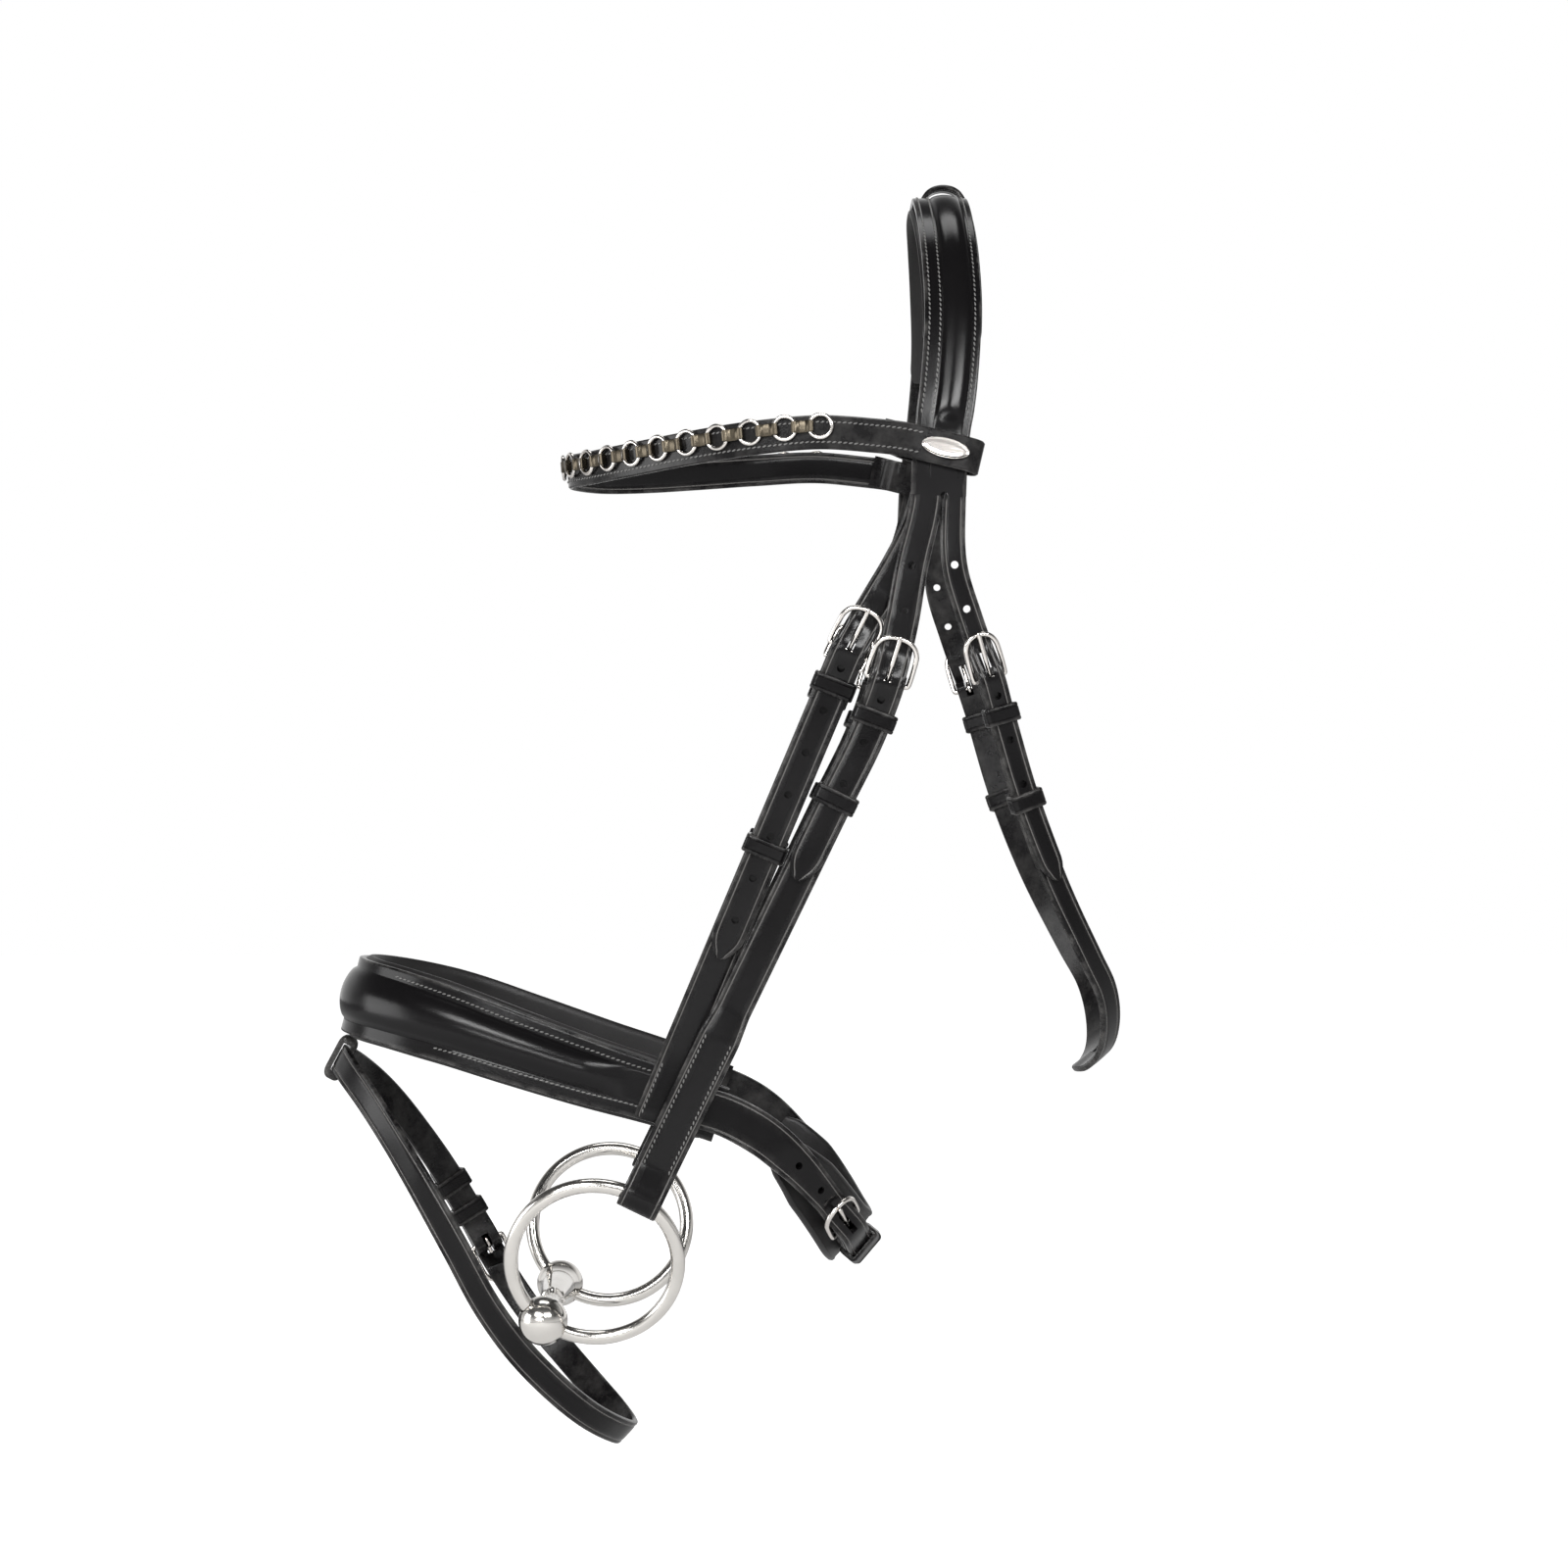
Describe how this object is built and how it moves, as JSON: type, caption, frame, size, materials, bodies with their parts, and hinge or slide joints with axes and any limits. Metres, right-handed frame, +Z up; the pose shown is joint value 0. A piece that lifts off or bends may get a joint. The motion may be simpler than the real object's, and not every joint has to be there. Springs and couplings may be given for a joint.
{
  "type": "bridle",
  "caption": "Leather bridle with a padded headpiece, ringed browband, padded noseband with a lower strap, buckled cheeks and a jointed ring bit.",
  "frame": {"origin": "middle of the crown pad's underside, where the bridle lies on the poll", "axes": "+Z up, -X the way the horse faces, -Y the horse's near (left) side"},
  "size_m": [0.365, 0.2002, 0.578],
  "materials": {
    "strap_leather": "semi-gloss",
    "pad_leather": "satin",
    "nickel": "polished",
    "bit_steel": "polished"
  },
  "bodies": {
    "straps": {"headpiece": "strap_leather", "crown_pad": "pad_leather", "crown_loop": "strap_leather", "noseband_headstrap": "strap_leather", "browband": "strap_leather", "browband_chain": "nickel", "left_browband_badge": "nickel", "right_browband_badge": "nickel", "left_cheekpiece": "strap_leather", "right_cheekpiece": "strap_leather", "left_noseband_hanger": "strap_leather", "right_noseband_hanger": "strap_leather", "throatlash": "strap_leather", "nosepiece": "strap_leather", "nosepiece_pad": "pad_leather", "left_chin_strap": "strap_leather", "right_chin_strap": "strap_leather", "chin_pad": "pad_leather", "flash_loop": "strap_leather", "flash_strap": "strap_leather", "left_cheek_buckle": "nickel", "right_cheek_buckle": "nickel", "left_noseband_buckle": "nickel", "right_noseband_buckle": "nickel", "left_throatlash_buckle": "nickel", "right_throatlash_buckle": "nickel", "chin_buckle": "nickel", "flash_buckle": "nickel", "left_cheek_fixed_keeper": "strap_leather", "right_cheek_fixed_keeper": "strap_leather", "left_noseband_fixed_keeper": "strap_leather", "right_noseband_fixed_keeper": "strap_leather", "left_throatlash_fixed_keeper": "strap_leather", "right_throatlash_fixed_keeper": "strap_leather", "chin_keeper_1": "strap_leather", "chin_keeper_2": "strap_leather", "flash_keeper_1": "strap_leather", "flash_keeper_2": "strap_leather"},
    "left_cheek_tongue": {"left_cheek_tongue": "nickel"},
    "right_cheek_tongue": {"right_cheek_tongue": "nickel"},
    "left_noseband_tongue": {"left_noseband_tongue": "nickel"},
    "right_noseband_tongue": {"right_noseband_tongue": "nickel"},
    "left_throatlash_tongue": {"left_throatlash_tongue": "nickel"},
    "right_throatlash_tongue": {"right_throatlash_tongue": "nickel"},
    "chin_tongue": {"chin_tongue": "nickel"},
    "flash_tongue": {"flash_tongue": "nickel"},
    "left_cheek_runner": {"left_cheek_runner": "strap_leather"},
    "right_cheek_runner": {"right_cheek_runner": "strap_leather"},
    "left_noseband_runner": {"left_noseband_runner": "strap_leather"},
    "right_noseband_runner": {"right_noseband_runner": "strap_leather"},
    "left_throatlash_runner": {"left_throatlash_runner": "strap_leather"},
    "right_throatlash_runner": {"right_throatlash_runner": "strap_leather"},
    "left_bit_ring": {"left_bit_ring": "bit_steel"},
    "right_bit_ring": {"right_bit_ring": "bit_steel"},
    "left_bit_cannon": {"left_bit_cannon": "bit_steel"},
    "right_bit_cannon": {"right_bit_cannon": "bit_steel"}
  },
  "joints": [
    {"name": "left_cheek_tongue_hinge", "type": "hinge", "parent": "straps", "child": "left_cheek_tongue", "pos_m": [-0.02609, -0.09158, -0.21628], "axis": [0.9556, 0, -0.2947], "range_deg": [0, 8]},
    {"name": "right_cheek_tongue_hinge", "type": "hinge", "parent": "straps", "child": "right_cheek_tongue", "pos_m": [-0.02609, 0.09158, -0.21628], "axis": [-0.9556, 0, 0.2947], "range_deg": [0, 8]},
    {"name": "left_noseband_tongue_hinge", "type": "hinge", "parent": "straps", "child": "left_noseband_tongue", "pos_m": [-0.0426, -0.08496, -0.2025], "axis": [0.8967, 0, -0.4426], "range_deg": [0, 8]},
    {"name": "right_noseband_tongue_hinge", "type": "hinge", "parent": "straps", "child": "right_noseband_tongue", "pos_m": [-0.0426, 0.08496, -0.2025], "axis": [-0.8967, 0, 0.4426], "range_deg": [0, 8]},
    {"name": "left_throatlash_tongue_hinge", "type": "hinge", "parent": "straps", "child": "left_throatlash_tongue", "pos_m": [0.0189, -0.08901, -0.2145], "axis": [0.9428, 0.1134, 0.3135], "range_deg": [0, 8]},
    {"name": "right_throatlash_tongue_hinge", "type": "hinge", "parent": "straps", "child": "right_throatlash_tongue", "pos_m": [0.0189, 0.08901, -0.2145], "axis": [-0.9428, 0.1134, -0.3135], "range_deg": [0, 8]},
    {"name": "chin_tongue_hinge", "type": "hinge", "parent": "straps", "child": "chin_tongue", "pos_m": [-0.04326, -0.0337, -0.45946], "axis": [0.6696, 0.2267, 0.7073], "range_deg": [0, 8]},
    {"name": "flash_tongue_hinge", "type": "hinge", "parent": "straps", "child": "flash_tongue", "pos_m": [-0.21212, 0.05382, -0.47791], "axis": [0.8535, 0.2364, 0.4644], "range_deg": [0, 8]},
    {"name": "left_cheek_runner_slide", "type": "slide", "parent": "straps", "child": "left_cheek_runner", "axis": [-0.4384, 0.0428, -0.8978], "range_m": [-0.012, 0.012]},
    {"name": "right_cheek_runner_slide", "type": "slide", "parent": "straps", "child": "right_cheek_runner", "axis": [-0.4384, -0.0428, -0.8978], "range_m": [-0.012, 0.012]},
    {"name": "left_noseband_runner_slide", "type": "slide", "parent": "straps", "child": "left_noseband_runner", "axis": [-0.3864, 0.0894, -0.918], "range_m": [-0.03, 0.03]},
    {"name": "right_noseband_runner_slide", "type": "slide", "parent": "straps", "child": "right_noseband_runner", "axis": [-0.3864, -0.0894, -0.918], "range_m": [-0.03, 0.03]},
    {"name": "left_throatlash_runner_slide", "type": "slide", "parent": "straps", "child": "left_throatlash_runner", "axis": [0.3182, 0.1527, -0.9357], "range_m": [-0.006, 0.006]},
    {"name": "right_throatlash_runner_slide", "type": "slide", "parent": "straps", "child": "right_throatlash_runner", "axis": [0.3182, -0.1527, -0.9357], "range_m": [-0.006, 0.006]},
    {"name": "left_bit_ring_spin", "type": "hinge", "parent": "straps", "child": "left_bit_ring", "pos_m": [-0.15456, -0.07098, -0.47173], "axis": [0, -0.9483, -0.3173], "continuous": true},
    {"name": "right_bit_ring_spin", "type": "hinge", "parent": "straps", "child": "right_bit_ring", "pos_m": [-0.15456, 0.07098, -0.47173], "axis": [0, -0.9483, 0.3173], "continuous": true},
    {"name": "left_bit_cannon_hinge", "type": "hinge", "parent": "straps", "child": "left_bit_cannon", "pos_m": [-0.17778, -0.06188, -0.49893], "axis": [0, 0, 1], "range_deg": [-3, 3]},
    {"name": "right_bit_cannon_hinge", "type": "hinge", "parent": "straps", "child": "right_bit_cannon", "pos_m": [-0.17778, 0.06188, -0.49893], "axis": [0, 0, 1], "range_deg": [-3, 3]}
  ],
  "couplings": [
    {"joint": "right_bit_cannon_hinge", "follows": "left_bit_cannon_hinge", "ratio": -1}
  ]
}
